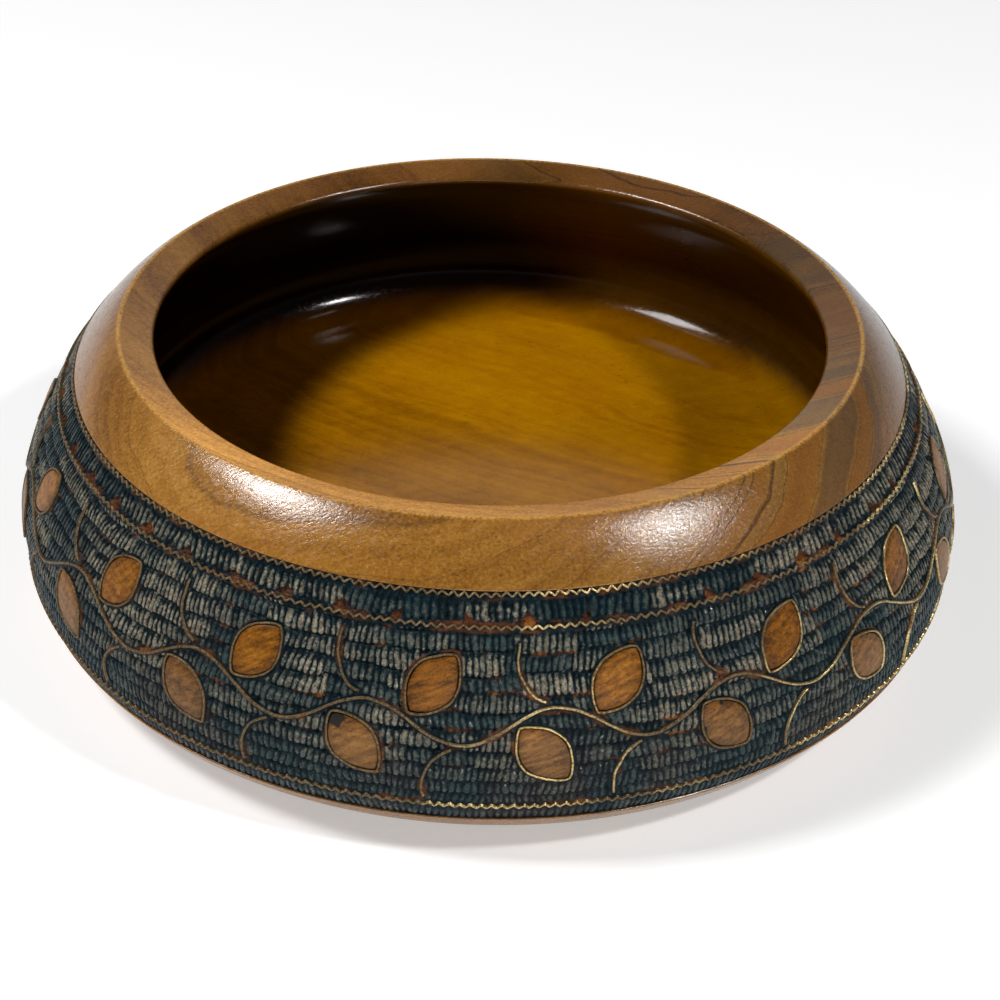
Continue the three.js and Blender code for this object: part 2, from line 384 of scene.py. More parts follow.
# Growth layers run through the whole block, and the fibres lie slanted in them. A grain is its broad boards,
# its fine lines, its fibres, and the spot turned to lie along the fibres.
grain = dict(layers=(-0.188, -0.355, 0.916), drift=9.0, ripple=3.0, board=0.12, line=0.8,
             fibre=(0.3, 1.4, 2.0), slant=27.0)


def woodGrain(graph, at):
    bend = graph.noise(at, 0.012, 1.0)
    ripple = graph.noise(graph.stretched(at, (0.4, 1.0, 1.0)), 0.07)
    depth = graph.measured("DOT_PRODUCT", at, grain["layers"])
    depth = depth + bend * grain["drift"] + ripple * grain["ripple"]

    def layers(scale, roughness):                 # noise that changes with the depth alone
        return graph.node("ShaderNodeTexNoise", {
            "W": depth, "Scale": scale, "Detail": 2.0, "Roughness": roughness}, noise_dimensions="1D")

    along = graph.node("ShaderNodeVectorRotate", {0: at, "Angle": math.radians(grain["slant"])},
                       rotation_type="Y_AXIS")
    fibre = graph.noise(graph.stretched(along, grain["fibre"]), 1.0, 3.0, 0.6)
    return layers(grain["board"], 0.55), layers(grain["line"], 0.6), fibre, along


# The turned wood: figured on the right and oiled inside, with painted light and shade: lighter on the left,
# darker at the back, a painted sheen on the rim's front, painted shade on the inside wall and a painted
# shadow on the floor.
timber = dict(
    # besides the wood's own tones: a painted highlight on the rim's edge, painted shade at the back, on the
    # inside wall and in the floor's shadow, and painted light on the rim's front and on the left
    tones=((0.12, 88, 54, 18), (0.38, 134, 88, 30), (0.6, 160, 110, 42), (0.88, 186, 138, 70)),
    smoke=shade(78, 57, 42), glow=shade(172, 110, 40), blush=shade(168, 108, 56), vein=shade(58, 34, 22),
    fleck=shade(64, 38, 16), rubbedAndLitEdge=shade(226, 168, 76), backShade=shade(182, 172, 146),
    floorShadow=shade(132, 118, 108),
    wall=((0.0, 44, 38, 34), (0.45, 66, 58, 52), (0.72, 138, 134, 118), (0.95, 98, 92, 84)),
    rimTop=(2.3, 2.25, 1.7, 1.0), oiled=(1.16, 1.06, 0.006, 1.0), litPoolMiddle=(28.0, 12.0, 0.0),
    paintedLightLeft=1.15, paintedShadeRight=0.45, smooth=0.13, skin=0.1, scratch=0.14, shine=0.7, dullShine=0.15)
span = dict(                                      # where each look sets in, in millimetres
    bottom=(14.0, 19.0), mouth=(58.4, 60.2), wall=(21.0, 27.0), figured=(2.0, 34.0), backShade=(-70.0, 70.0),
    rimFlat=(59.6, 60.4), rimOut=(76.8, 77.6), rimSheenFront=(10.0, 60.0), paintedLightLeft=(-95.0, 60.0),
    edgeIn=(76.5, 77.0), edgeOut=(77.3, 77.9), edgeTop=(60.8, 61.4), wallShadeAcross=(-60.0, 75.0),
    used=(65.0, 77.0), dullOut=(62.0, 67.0), dullUp=(22.5, 26.0))


def turnedWood(graph, at):
    board, line, fibre, along = woodGrain(graph, at)
    place = graph.split(at)
    y, height = place.also("Y"), place.also("Z")
    flat = graph.stretched(at, (1.0, 1.0, 0.0))
    far = graph.measured("LENGTH", flat)
    blotch = graph.noise(at, 0.03)
    speck = graph.noise(at, 1.7, 3.0, 0.75)
    mottle = graph.noise(graph.stretched(along, (0.5, 1.0, 1.0)), 0.4)

    # where the wood is inside, and where it is figured
    behindMouth = graph.ramp(73.5 + (60 - height) * 0.45 - far, 0.0, 0.6)
    inside = behindMouth * graph.ramp(height, *span["bottom"]) * (1 - graph.ramp(height, *span["mouth"]))
    wall = inside * graph.ramp(height, *span["wall"])
    figured = graph.ramp(place + y * 0.25 + (blotch - 0.5) * 30, *span["figured"]) * (1 - inside * 0.8)

    tone = 0.48 + (graph.ramp(board, 0.34, 0.66) - 0.5) * (0.2 + figured * 0.3) + (line - 0.5) * 0.3
    tone = tone + (fibre - 0.5) * (0.3 - inside * 0.15) + (speck - 0.5) * (1.05 - inside * 0.85)
    tone = tone + (blotch - 0.5) * 0.5 + (mottle - 0.5) * 0.25
    colour = graph.coloured(tone, timber["tones"])
    smoke = graph.ramp(board, 0.51, 0.6) * figured
    colour = graph.mixed(smoke * 0.66, colour, timber["smoke"])
    glow = (1 - graph.ramp(board, 0.44, 0.5)) * figured
    colour = graph.mixed(glow * 0.5, colour, timber["glow"])
    # painted shade: the outside is made darker towards the back
    backShade = graph.ramp(y + (blotch - 0.5) * 40, *span["backShade"]) * (1 - inside)
    colour = graph.tinted(backShade, colour, timber["backShade"])
    # painted sheen: the rim's flat top is made lighter towards the front
    rimTop = graph.ramp(height, *span["rimFlat"]) * (1 - graph.ramp(far, *span["rimOut"]))
    colour = graph.tinted(rimTop * graph.ramp(0 - y, *span["rimSheenFront"]), colour, timber["rimTop"])
    # painted light: the outside is made lighter on the left and darker on the right
    leftToRight = graph.ramp(place + (blotch - 0.5) * 40, *span["paintedLightLeft"])
    colour = graph.tinted(1 - inside, colour, timber["paintedLightLeft"] - leftToRight * timber["paintedShadeRight"])
    blush = graph.ramp(graph.noise(at, 0.02, 1.0), 0.5, 0.66)
    colour = graph.mixed(blush * 0.2, colour, timber["blush"])
    vein = (1 - graph.ramp(graph.maths("ABSOLUTE", board - 0.51), 0.0, 0.011)) * (1 - inside)
    colour = graph.mixed(vein * (0.3 + figured * 0.5), colour, timber["vein"])
    fleck = graph.ramp(graph.noise(graph.stretched(at, (0.5, 1.2, 1.2)), 1.5, 1.0), 0.7, 0.77)
    colour = graph.mixed(fleck * 0.5, colour, timber["fleck"])
    # a thin rubbed edge round the rim, with a painted highlight along it
    edge = graph.ramp(far, *span["edgeIn"]) * (1 - graph.ramp(far, *span["edgeOut"]))
    edge = edge * graph.ramp(height, *span["edgeTop"]) * graph.ramp(speck, 0.3, 0.6)
    colour = graph.mixed(edge * 0.6, colour, timber["rubbedAndLitEdge"])

    # oil, and painted shade: the wall is darkest on the left, and the floor has a painted shadow beyond the
    # key light's pool
    colour = graph.tinted(inside, colour, timber["oiled"])
    paintedWallShade = graph.coloured(graph.ramp(place, *span["wallShadeAcross"]), timber["wall"])
    colour = graph.tinted(wall, colour, paintedWallShade)
    # painted shadow: inside, all outside a circle round the key light's lit pool is darkened
    used = graph.measured("DISTANCE", flat, timber["litPoolMiddle"]) + (blotch - 0.5) * 8
    colour = graph.tinted(inside * graph.ramp(used, *span["used"]), colour, timber["floorShadow"])

    skin = graph.noise(graph.stretched(along, (0.5, 1.2, 1.3)), 1.5, 3.0, 0.7)
    scratch = graph.ramp(graph.noise(graph.stretched(along, (0.35, 1.4, 1.6)), 1.2, 3.0, 0.7), 0.5, 0.62)
    dulled = graph.maths("MAXIMUM", graph.ramp(far, *span["dullOut"]), graph.ramp(height, *span["dullUp"]))
    dulled = inside * dulled
    rough = timber["smooth"] + graph.ramp(skin, 0.3, 0.8) * timber["skin"] + scratch * timber["scratch"]
    return {"Base Color": colour, "Roughness": rough * (1 - dulled * 0.4), "dulled": dulled,
            "Normal": graph.bump(skin * (1 - inside * 0.85), 0.5, 0.15),
            "Specular IOR Level": timber["shine"]}


# The leaves, browner in the lower row. Flaws in single leaves: degrees round, mm down the flank, radius.
leafLook = dict(
    upper=((0.15, 68, 40, 8), (0.5, 129, 78, 14), (0.85, 170, 114, 34)),
    lower=((0.15, 80, 55, 32), (0.5, 128, 89, 47), (0.85, 158, 115, 66)),
    fleck=shade(60, 32, 14), flaw=shade(16, 22, 26), lowRow=(26.0, 33.0),
    flaws=((-15.3, 38.9, 1.9), (26.3, 38.7, 0.45), (24.1, 43.0, 0.65), (-45.2, 36.6, 1.1)))


def flawMask(graph, at):                          # 1 in a flaw, ragged at its edge
    ragged = (graph.noise(at, 0.9) - 0.5) * 1.6
    most = 0.0
    for degrees, place, size in leafLook["flaws"]:
        (radius, height), turn = map(float, flankAt(place)), math.radians(degrees)
        away = graph.measured("DISTANCE", at, (radius * math.sin(turn), -radius * math.cos(turn), height))
        mask = 1 - graph.ramp(away + ragged * min(size, 1.0), size * 0.8, size * 1.05)
        most = graph.maths("MAXIMUM", most, mask)
    return most


def leafWood(graph, at):
    _, line, fibre, along = woodGrain(graph, at)
    rim = graph.ramp(attribute(graph, "leafRim"), 0.55, 1.0)
    streak = graph.noise(graph.stretched(along, (0.22, 1.3, 1.5)), 0.8, 3.0, 0.65)
    grit = graph.noise(at, 1.9, 3.0, 0.75)
    low = 1 - graph.ramp(graph.split(at).also("Z"), *leafLook["lowRow"])
    tone = 0.46 + (line - 0.5) * 0.5 + (streak - 0.5) * 1.1 + (grit - 0.5) * 0.7 - rim * 0.14
    tone = tone + (graph.noise(at, 0.05, 1.0) - 0.5) * 0.7
    colour = graph.mixed(low, *(graph.coloured(tone, leafLook[row]) for row in ("upper", "lower")))
    fleck = graph.ramp(graph.noise(graph.stretched(at, (0.5, 1.6, 1.8)), 1.4, 1.0), 0.66, 0.74)
    colour = graph.mixed(fleck * 0.55, colour, leafLook["fleck"])
    flaw = flawMask(graph, at)
    colour = graph.mixed(flaw * 0.94, colour, leafLook["flaw"])
    return {"Base Color": colour, "Roughness": 0.44, "Specular IOR Level": 0.18,
            "Normal": graph.bump(streak + fibre - flaw * 3, 0.4, 0.15)}


# The gouged ground: stained blue-black, rubbed grey and painted lighter on its ridges, with red-brown wood
# showing in places.
stain = dict(
    tones=((0.3, 1, 6, 9), (0.5, 9, 32, 39), (0.76, 38, 73, 77)), plum=shade(40, 30, 30),
    coolTop=shade(102, 116, 110), warmTop=shade(146, 126, 104), dimTop=shade(150, 150, 150),
    paleTop=shade(180, 170, 146), bare=((0.3, 42, 26, 16), (0.52, 96, 54, 28), (0.75, 172, 104, 42)),
    lowPart=(16.0, 36.0))


def stainedCarving(graph, at):
    lit, bare, tone, wear = (attribute(graph, n) for n in ("ribLight", "bareWood", "markTone", "groupWear"))
    low = 1 - graph.ramp(graph.split(at).also("Z"), *stain["lowPart"])
    blotch = graph.noise(at, 0.045)
    grit = graph.noise(at, 1.0, 3.0, 0.75)
    fine = graph.noise(at, 2.4, 2.0, 0.7)
    ground = graph.coloured(grit * 0.5 + fine * 0.2 + tone * 0.12 + lit * 0.18, stain["tones"])
    plum = graph.ramp(graph.noise(at, 0.04), 0.48, 0.64) * (0.25 + low * 0.6)
    ground = graph.mixed(plum * 0.5, ground, stain["plum"])
    # rubbed paleness with painted light on the rib tops, less in the lower rows
    rubbedAndLit = graph.ramp(lit + (grit - 0.5) * 1.3 + (tone - 0.5) * 0.4, 0.15, 0.85)
    rubbedAndLit = rubbedAndLit * (0.12 + graph.ramp(wear * 0.6 + blotch, 0.45, 1.1) * 0.88) * (1 - low * 0.75)
    hue = graph.noise(at, 0.5, 1.0) + (tone - 0.5) * 0.3
    top = graph.mixed(graph.ramp(hue, 0.35, 0.65), stain["coolTop"], stain["warmTop"])
    dim = graph.tinted(1.0, top, stain["dimTop"])
    top = graph.mixed(graph.ramp(grit * 0.5 + fine * 0.5, 0.35, 0.75), dim, stain["paleTop"])
    colour = graph.mixed(rubbedAndLit * 0.95, ground, top)
    bareWood = graph.coloured(graph.noise(at, 0.3, 3.0, 0.6), stain["bare"])
    colour = graph.mixed(bare * graph.ramp(grit, 0.3, 0.55), colour, bareWood)
    glint = graph.ramp(fine, 0.56, 0.66) * graph.ramp(lit, 0.2, 0.6)
    return {"Base Color": colour, "Roughness": 0.4, "Normal": graph.bump(grit + fine * 0.5, 0.7, 0.14),
            "Specular IOR Level": 0.08, "Coat Weight": glint, "Coat Roughness": 0.12}


# The brass: dull, and brighter in patches.
brass = dict(darkDull=shade(62, 48, 32), paleDull=shade(126, 105, 72),
             darkBright=shade(160, 136, 84), paleBright=shade(218, 196, 142))


def wornBrass(graph, at):
    patch = graph.ramp(graph.noise(at, 0.035) + graph.split(at) * 0.0018, 0.54, 0.66)
    grit = graph.noise(at, 2.2, 3.0, 0.6)
    dull = graph.mixed(graph.ramp(grit, 0.3, 0.7), brass["darkDull"], brass["paleDull"])
    bright = graph.mixed(grit, brass["darkBright"], brass["paleBright"])
    colour = graph.mixed(patch * graph.ramp(grit, 0.25, 0.6), dull, bright)
    return {"Base Color": colour, "Metallic": patch * 0.35 + 0.5, "Roughness": 0.5 - patch * 0.16,
            "Specular IOR Level": 0.3}


turnedWoodFinish = surface("turnedWood", turnedWood, timber["dullShine"])
leafWoodFinish = surface("leafWood", leafWood)
carvingFinish = surface("stainedCarving", stainedCarving)
brassFinish = surface("wornBrass", wornBrass)
print("finishes made")

# The turned body: plain shoulder, rim, hollow and underside, with a recess that the carved band sits in.
turned = dict(sides=384, bandStart=13.42, bandEnd=60.32, recess=4.0, edge=0.16, rimFall=1.9, rimEase=0.35,
              mouthRadius=70.0, mouthEase=1.2, cavityRadius=82.5, coveRadius=11.0, floorHeight=22.0,
              floorDish=1.5)
spots = dict(cove=15, wall=7, floor=13, underside=16, recess=9, shoulder=16, foot=8,
             lowerLip=2, upperLip=3, rimEdge=4, mouthEdge=6)   # how finely each stretch is drawn


def roundedCorner(before, corner, after, radius, steps):
    a, b = (np.array(p, float) - corner for p in (before, after))
    a, b = a / np.linalg.norm(a), b / np.linalg.norm(b)
    half = math.acos(np.clip(a @ b, -1, 1)) / 2
    centre = corner + (a + b) / np.linalg.norm(a + b) * radius / math.sin(half)
    start, end = corner + a * radius / math.tan(half), corner + b * radius / math.tan(half)
    points = []
    for t in np.linspace(0, 1, steps + 1):
        way = (1 - t) * (start - centre) + t * (end - centre)
        points.append(centre + way / np.linalg.norm(way) * radius)
    return points


def bowlProfile(t):
    rim, mouth = flankAt(0.0), np.array([t["mouthRadius"], flank["rimHeight"] - t["rimFall"]])
    cove = np.array([t["cavityRadius"] - t["coveRadius"], t["floorHeight"] + t["coveRadius"]])
    below = mouth - [0, t["mouthEase"] * 1.6]
    toMouth = below - cove
    coveEnd = math.atan2(toMouth[1], toMouth[0]) - math.acos(t["coveRadius"] / np.linalg.norm(toMouth))
    turns = np.linspace(coveEnd, -math.pi / 2, spots["cove"])
    coveLine = cove + t["coveRadius"] * np.stack([np.cos(turns), np.sin(turns)], -1)
    wall = [below + (coveLine[0] - below) * s for s in np.linspace(0.08, 0.92, spots["wall"])]
    floorRadii = np.linspace(cove[0], 0, spots["floor"])[1:]
    floor = [(r, t["floorHeight"] - t["floorDish"] * (1 - (r / cove[0]) ** 2)) for r in floorRadii]
    edge, start, end = t["edge"], t["bandStart"], t["bandEnd"]
    underside = flankAt(np.linspace(flankRun[-1], end + edge, spots["underside"]))
    lowerLip = roundedCorner(flankAt(end + 1), flankAt(end), flankAt(end, -1.0), edge, spots["lowerLip"])
    upperLip = roundedCorner(flankAt(start, -1.0), flankAt(start), flankAt(start - 1), edge,
                             spots["upperLip"])
    recess = flankAt(np.linspace(end, start, spots["recess"]), -t["recess"])
    shoulder = flankAt(np.linspace(start - edge * 1.3, t["rimEase"] * 1.6, spots["shoulder"]))
    rimEdge = roundedCorner(flankAt(1.0), rim, mouth, t["rimEase"], spots["rimEdge"])
    mouthEdge = roundedCorner(rim, mouth, below, t["mouthEase"], spots["mouthEdge"])
    rimTop = [rimEdge[-1] + (mouthEdge[0] - rimEdge[-1]) * s for s in (0.33, 0.67)]
    foot = [(r, 0.0) for r in np.linspace(0, flank["footRadius"], spots["foot"])[:-1]]
    outside = [*foot, *underside, *lowerLip, *recess, *upperLip, *shoulder, *rimEdge]
    return np.array([*outside, *rimTop, *mouthEdge, *wall, *coveLine, *floor])


def lathe(name, profile, sides, finish):          # the profile starts and ends on the axis
    turns = np.linspace(0, 2 * math.pi, sides, endpoint=False)[:, None]
    radii, heights = profile[1:-1].T
    count = len(radii)
    rings = np.stack([np.cos(turns) * radii, np.sin(turns) * radii, np.ones_like(turns) * heights], -1)
    points = np.concatenate([rings.reshape(-1, 3), [(0, 0, profile[0][1]), (0, 0, profile[-1][1])]]) * mm
    at = lambda i, j: (i % sides) * count + j
    foot, top = sides * count, sides * count + 1
    faces = []
    for i in range(sides):
        faces += [(at(i, j), at(i + 1, j), at(i + 1, j + 1), at(i, j + 1)) for j in range(count - 1)]
    faces += [(foot, at(i + 1, 0), at(i, 0)) for i in range(sides)]
    faces += [(top, at(i, count - 1), at(i + 1, count - 1)) for i in range(sides)]
    mesh = meshOf(name, points.tolist(), [], faces)
    mesh.materials.append(finish)
    return placed(name, mesh)


bowlTurned = smoothed(lathe("bowlTurned", bowlProfile(turned), turned["sides"], turnedWoodFinish), 50)
finished(bowlTurned, "wood", "bowl_body")

# The carved band: rows of small gouged ribs, laid in sectors that close round the bowl.
sectors, bandGap, ringGap, fieldGap = 8, 0.02, 0.3, 0.4
carving = dict(columns=480, rows=158, backRows=3, ribPitch=1.3, ribs=9.5, ribsLuck=2.4, lean=1.1,
               leanDrift=1.4, shake=0.6, rowPitch=3.9, rowTaper=0.012, rowSway=0.5, dip=0.1, dipLuck=0.32,
               top=-0.26, topLeast=0.72, topLuck=0.3, low=-0.75, valley=0.44, floor=-1.05, waver=0.25,
               ledge=-0.3, ledgeWidth=0.55, ledgeDrift=0.9, lip=-0.3, bed=-1.35, back=-3.6, seed=5.0)


def titled(sizes):                                # ribPitch becomes Rib Pitch, as a tree's inputs are named
    return {"".join(" " + c if c.isupper() else c for c in name).title(): sizes[name] for name in sizes}


def carvingTree():
    kinds = [(name, "Int" if isinstance(size, int) else "Float") for name, size in titled(carving).items()]
    graph, given = newTree("gougedBand", ("Strips", "Object"), ("Leaves", "Object"), ("From", "Float"),
                           ("Width", "Float"), *kinds, ("Finish", "Material"))
    rows, radius = given["Rows"], given["Drawing Radius"]
    rowSpots = rows + given["Back Rows"] + 3
    sheet = graph.node("GeometryNodeMeshGrid", {
        "Size X": 1.0, "Size Y": 1.0, "Vertices X": given["Columns"] + 1, "Vertices Y": rowSpots})
    mapped = graph.node("GeometryNodeStoreNamedAttribute", {
        "Geometry": sheet, "Name": "OFBake", "Value": sheet.also("UV Map")},
        data_type="FLOAT2", domain="CORNER")
    spot = graph.split(graph.node("GeometryNodeInputPosition"))
    row = (0.5 - spot.also("Y")) * (rowSpots - 1)
    x = given["From"] + (spot + 0.5) * given["Width"]
    isBack = (row > rows + 0.5) * (row < rowSpots - 1.5)
    down = graph.maths("MINIMUM", row / rows, 1.0)
    up = 1 - graph.maths("MAXIMUM", row - rows - 1, 0.0) / given["Back Rows"]
    share = down * (row < rows + 0.5) + graph.maths("MAXIMUM", up, 0.0) * (row > rows + 0.5)
    place = turned["bandStart"] + bandGap + share * (turned["bandEnd"] - turned["bandStart"] - 2 * bandGap)
    turn = x / radius
    hoop = graph.vector(graph.maths("COSINE", turn) * radius, graph.maths("SINE", turn) * radius,
                        place + given["Seed"] * 97)
    around = x / (2 * math.pi * radius) + 0.5

    # the ribs of a row were cut in groups, and each group comes down past its line as far as it likes
    groupCount = graph.maths("ROUND", 2 * math.pi * radius / (given["Rib Pitch"] * given["Ribs"]))

    def groupsOf(row):
        at = around * groupCount + graph.chance(row, given["Seed"])
        first = graph.maths("FLOOR", at)
        luck = graph.chance(first % groupCount, row, given["Seed"])
        across = (at - first) * 2 - 1
        dip = given["Dip"] + luck * given["Dip Luck"] - across * across * given["Dip"]
        return at - first, across, first % groupCount, luck, dip

    # which row a spot is in, and how far down that row it is
    isTall, isFoot = place < upperRing, place > lowerRing
    isField = (1 - isTall) * (1 - isFoot)
    below = place - upperRing - fieldGap
    sway = graph.noise(hoop, 0.03, 1.0) - 0.5
    field = below / (given["Row Pitch"] - below * given["Row Taper"]) + sway * given["Row Sway"] + 1.0
    line = graph.maths("FLOOR", field)
    row = line - (field < line + groupsOf(line - 1)[-1])
    dipAbove, dip = groupsOf(row - 1)[-1], groupsOf(row)[-1]
    fieldShare = (field - row - dipAbove) / (1 + dip - dipAbove)
    tallShare = (place - shoulderRing - ringGap) / (upperRing - shoulderRing - 2 * ringGap)
    footShare = (place - lowerRing - ringGap) / (turned["bandEnd"] - lowerRing - ringGap)
    rowShare = fieldShare * isField + tallShare * isTall + footShare * isFoot
    rowId = graph.maths("ROUND", row * isField + isTall * 40 + isFoot * 60)   # no two rows share a number

    # the ribs of a group
    groupShare, across, groupId, luck, _ = groupsOf(rowId)
    groupSide = graph.split(luck.also("Color"))
    ribs = given["Ribs"] - 1 + groupSide.also("Y") * given["Ribs Luck"]
    ribs = graph.maths("ROUND", ribs * (1 - isTall * 0.2))
    lean = (groupSide.also("Z") - 0.5) * given["Lean"]
    lean = lean + (graph.noise(hoop, 0.1, 1.0) - 0.5) * given["Lean Drift"]
    shake = (graph.noise(hoop, 0.5, 1.0) - 0.5) * given["Shake"]
    ribAt = groupShare * ribs + lean * (rowShare - 0.5) + shake
    rib = graph.maths("FLOOR", ribAt)
    side = graph.maths("ABSOLUTE", (ribAt - rib) * 2 - 1)
    ribChance = graph.chance(rib, groupId + rowId * 7, given["Seed"] + 3)
    ribSide = graph.split(ribChance.also("Color"))

    # the height of the gouged wood: a rib rises down its row and ends like a fingertip
    split = graph.ramp(graph.maths("ABSOLUTE", across), 0.55, 1.0)
    split = split * graph.ramp(groupSide.also("Y"), 0.2, 0.5)
    tip = side * side * 0.1 + ribSide.also("Y") * 0.06 + split * isTall * 0.3
    rise = graph.ramp(rowShare + (ribSide.also("Z") - 0.5) * 0.2, -0.05, 0.5 - isTall * 0.25)
    fall = 1 - graph.ramp(rowShare + tip, 0.92, 1.0)
    swell = 1 - side ** 3.2
    reach = given["Top Least"] + given["Top Luck"] * ribChance
    proud = given["Low"] + (given["Top"] - given["Low"]) * rise * reach
    height = proud - given["Valley"] * (1 - swell) * (0.5 + 0.5 * rise)
    height = given["Floor"] + (height - given["Floor"]) * fall
    height = height + (graph.noise(hoop, 0.06) - 0.5) * given["Waver"]

    # strips stand in a low ledge, and leaves have their bed below them
    flatSpot = graph.vector(x, 0 - place, 0.0)
    toStrip, toLeaf = (graph.node(
        "GeometryNodeProximity", {0: shapeOf(graph, given[name]), "Sample Position": flatSpot}, "Distance",
        target_element=element) for name, element in (("Strips", "EDGES"), ("Leaves", "FACES")))
    for ring in (shoulderRing, upperRing, lowerRing):
        toStrip = graph.maths("MINIMUM", toStrip, graph.maths("ABSOLUTE", place - ring) * 0.9 - 0.12)
    ledgeWidth = given["Ledge Width"] + (graph.noise(hoop, 0.2, 1.0) - 0.5) * given["Ledge Drift"]
    beside = 1 - graph.ramp(toStrip - ledgeWidth, -0.15, 0.45)
    height = height + (given["Ledge"] - height) * beside
    inLeaf = 1 - graph.ramp(toLeaf, 0.0, 0.12)
    height = height + (given["Bed"] - height) * inLeaf
    lip = graph.ramp(share, 0.0, 0.012) * (1 - graph.ramp(share, 0.988, 1.0))
    height = given["Lip"] + (height - given["Lip"]) * lip
    out = height * (1 - isBack) + given["Back"] * isBack

    # where bare wood shows, and how much painted light and rubbed paleness a rib shows: most on its crown
    # and lower end
    unstained = graph.ramp(graph.noise(hoop, 0.13), 0.56, 0.66) * (1 - isFoot)
    under = graph.maths("MAXIMUM", 1 - fall, 1 - graph.ramp(rowShare, 0.0, 0.08)) * (1 - isTall * 0.6)
    bare = under * unstained + (1 - fall) * split * isTall + beside * 0.75 * graph.ramp(
        graph.noise(hoop, 0.09), 0.5, 0.62)
    lift = (0.25 + graph.ramp(rowShare, 0.0, 0.5) * 0.75) * isField + (1 - isField) * (
        graph.ramp(rowShare, 0.0, 0.5) * (1 - graph.ramp(rowShare, 0.6, 1.05) * 0.6) * 0.8)
    light = lift * (1 - side ** 1.4) * fall * (1 - beside) * (1 - isTall * 0.1)
    stored = dict(ribLight=light, bareWood=graph.maths("MINIMUM", bare, 1.0), markTone=ribChance,
                  groupWear=groupSide)
    for name, value in stored.items():
        mapped = graph.node("GeometryNodeStoreNamedAttribute", {
            "Geometry": mapped, "Name": name, "Value": value}, data_type="FLOAT", domain="POINT")
    laid = graph.node("GeometryNodeSetPosition", {
        "Geometry": mapped, "Position": graph.vector(x, 0 - place, out)})
    return endTree(graph, merged(graph, bent(graph, laid, given)), given["Finish"])


def closed(piece):                                # caps the open sides of a sector
    work = bmesh.new()
    work.from_mesh(piece.data)
    rim = [e for e in work.edges if e.is_boundary]
    caps = bmesh.ops.holes_fill(work, edges=rim, sides=0)["faces"]
    bmesh.ops.recalc_face_normals(work, faces=work.faces)
    for face in work.faces:
        face.smooth = True
    for cap in caps:
        cap.smooth = False
        for edge in cap.edges:
            edge.smooth = False
    print(piece.name, "closed with", len(caps), "caps")
    work.to_mesh(piece.data)
    work.free()
    return piece


around = drawing(-10, 10)
leafFrames = around["upper"] + around["lower"]
leafOutlines = [leafPath(*f) for f in leafFrames]
stripHelper = helper("stripHelper", flatMesh("stripLines", around["vine"] + around["tendril"], False))
outlineEdges = bmesh.new()
outlineEdges.from_mesh(stripHelper.data)
outlineEdges.from_mesh(flatMesh("outlineLines", leafOutlines, True))
outlineEdges.to_mesh(stripHelper.data)
outlineEdges.free()
leafHelper = helper("leafHelper", flatMesh("leafShapes", leafOutlines, True, True))

gougedBand = carvingTree()
width = girth / sectors
for number in range(sectors):
    sector = grown(f"carvedBand_{number + 1}", gougedBand, bpy.data.meshes.new("blank"), dict(
        titled(carving), Strips=stripHelper, Leaves=leafHelper, From=width * number - girth / 2, Width=width,
        Finish=carvingFinish))
    finished(closed(sector), "wood", "bowl_body")
print("carved band laid")

# The leaves: smooth islands left standing at the height of the turned surface.
leafForm = dict(inset=0.32, foot=-1.6, wobble=0.012, levels=(
    (0.0, 0.05), (0.35, 0.05), (0.65, 0.04), (0.86, 0.02), (0.94, -0.03), (0.985, -0.14), (1.0, -0.32)))


def leafMesh(frames):
    points, faces, fromMiddle = [], [], []
    for number, place in enumerate(frames):
        path = leafPath(*place, steps=26, inset=leafForm["inset"])
        wobble = np.random.default_rng(100 + number)
        turns = np.linspace(0, 2 * math.pi, len(path), endpoint=False)
        middle = path.mean(0)
        most = leafForm["wobble"]
        waves = [wobble.uniform(-most, most) * np.cos(n * turns + wobble.uniform(0, 6.3)) for n in (2, 3, 5)]
        path = middle + (path - middle) * (1 + sum(waves))[:, None]
        base, count = len(points), len(path)
        rings = [*leafForm["levels"][1:], (1.0, leafForm["foot"])]
        points.append((*middle, leafForm["levels"][0][1]))
        for size, height in rings:
            points += [(*(middle + (p - middle) * size), height) for p in path]
        points.append((*middle, leafForm["foot"]))
        at = lambda ring, i: base + 1 + ring * count + i % count
        foot, low = len(points) - 1, len(rings) - 1
        for i in range(count):
            faces.append((base, at(0, i), at(0, i + 1)))
            faces += [(at(r, i), at(r + 1, i), at(r + 1, i + 1), at(r, i + 1)) for r in range(low)]
            faces.append((foot, at(low, i + 1), at(low, i)))
        fromMiddle += [0.0] + [size for size, _ in rings for _ in path] + [1.0]
    mesh = meshOf("leafShapes", [tuple(map(float, p)) for p in points], [], faces)
    mesh.attributes.new("leafRim", "FLOAT", "POINT").data.foreach_set("value", fromMiddle)
    return mesh


def layTree():                                    # a flat drawing laid on the flank as it is
    graph, given = newTree("layOnFlank", ("Finish", "Material"))
    return endTree(graph, bent(graph, given["Geometry"], given), given["Finish"])


drawn = drawing(0, vine["repeats"])
leaves = grown("leafFaces", layTree(), leafMesh(drawn["upper"] + drawn["lower"]), {"Finish": leafWoodFinish})
finished(smoothed(leaves, 60), "wood", "bowl_body")

# The brass strip: one cross section, swept along a flat drawing or a crimped line and bent onto the flank.
stripInputs = (*((name, "Float") for name in ("Strip Width", "Top", "Foot", "Edge", "Step")),
               ("Finish", "Material"))


